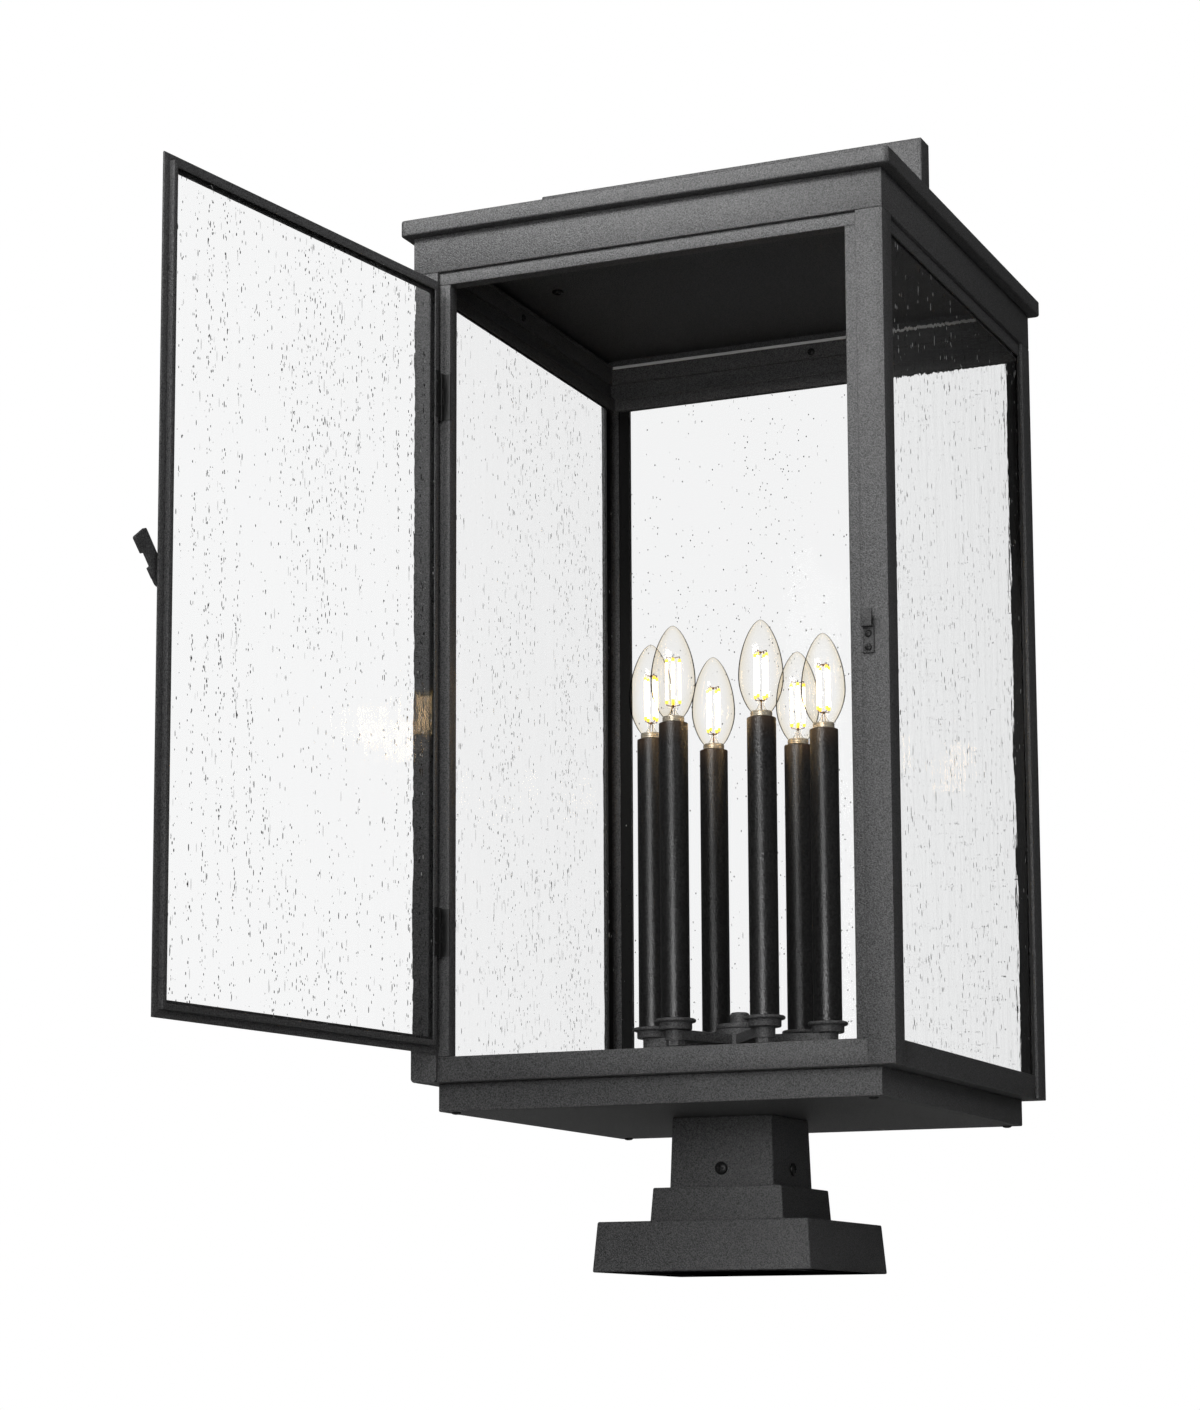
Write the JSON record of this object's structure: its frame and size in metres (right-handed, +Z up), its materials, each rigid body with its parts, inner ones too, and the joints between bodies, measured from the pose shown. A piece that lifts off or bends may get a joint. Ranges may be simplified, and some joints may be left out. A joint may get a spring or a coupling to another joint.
{
  "type": "pier mount light",
  "caption": "Square glazed lantern on a stepped pier base, with a side hinged glass door, swing latch, carrying handle and a ring of candle lamps.",
  "frame": {"origin": "centre of the base's underside, on top of the pier", "axes": "+Z up, -Y the door side, +X to the right when facing the door"},
  "size_m": [0.4222, 0.7341, 0.883],
  "materials": {
    "black_powder_coat": "fine textured black powder coat",
    "dark_steel": "blackened steel fixings",
    "zinc_steel": "zinc plated steel, out of sight",
    "seeded_glass": "clear glass with small bubbles and streaks",
    "bulb_glass": "clear thin lamp glass",
    "glazing_rubber": "black glazing tape",
    "black_plastic": "satin black moulding",
    "lamp_brass": "nickel washed brass lamp cap",
    "filament": "warm glowing filament rods"
  },
  "bodies": {
    "lantern": {"mounting_plate": "zinc_steel", "mounting_post": "zinc_steel", "pier_base": "black_powder_coat", "neck_screws": "dark_steel", "bottom_tray": "black_powder_coat", "tray_bolts": "zinc_steel", "tray_screws": "dark_steel", "floor_plate": "black_powder_coat", "post_front_left": "black_powder_coat", "post_front_right": "black_powder_coat", "post_rear_left": "black_powder_coat", "post_rear_right": "black_powder_coat", "rail_front": "black_powder_coat", "rail_rear": "black_powder_coat", "rail_left": "black_powder_coat", "rail_right": "black_powder_coat", "strip_front": "black_powder_coat", "channel_rear": "black_powder_coat", "channel_left": "black_powder_coat", "channel_right": "black_powder_coat", "door_stop_left": "black_powder_coat", "door_stop_right": "black_powder_coat", "fascia_frame": "black_powder_coat", "roof_pan": "black_powder_coat", "roof_screws": "dark_steel", "top_handle": "black_powder_coat", "handle_screws": "dark_steel", "glass_rear": "seeded_glass", "glass_left": "seeded_glass", "glass_right": "seeded_glass", "glazing_tapes": "glazing_rubber", "catch_hook": "black_powder_coat", "catch_screws": "dark_steel", "hinge_leaves_frame": "dark_steel", "hinge_screws": "dark_steel", "hinge_pins": "dark_steel", "hub_stem": "black_powder_coat", "cluster_hub": "black_powder_coat", "hub_cap": "black_powder_coat", "finial_knob": "black_powder_coat", "centre_tube": "zinc_steel", "lock_nut": "zinc_steel", "cluster_arms": "black_powder_coat", "candle_cups": "black_powder_coat", "stem_nuts": "black_powder_coat", "socket_stems": "zinc_steel", "candle_sleeves": "black_plastic", "lamp_holders": "black_plastic", "bulb_caps": "lamp_brass", "bulb_glass": "bulb_glass", "bulb_filaments": "filament"},
    "door": {"door_stile_hinge": "black_powder_coat", "door_stile_free": "black_powder_coat", "door_rail_top": "black_powder_coat", "door_rail_bottom": "black_powder_coat", "door_glass": "seeded_glass", "hinge_leaves_door": "dark_steel", "hinge_rivets": "dark_steel", "latch_pivot": "dark_steel"},
    "latch": {"latch_lever": "black_powder_coat"}
  },
  "joints": [
    {"name": "door_swing", "type": "hinge", "parent": "lantern", "child": "door", "pos_m": [-0.1671, -0.1889, 0.45765], "axis": [0, 0, 1], "range_deg": [-21.6, 98.4]},
    {"name": "latch_turn", "type": "hinge", "parent": "door", "child": "latch", "pos_m": [-0.21905, -0.50955, 0.458], "axis": [-0.9893, 0.1461, 0], "range_deg": [-51.3, 40]}
  ]
}
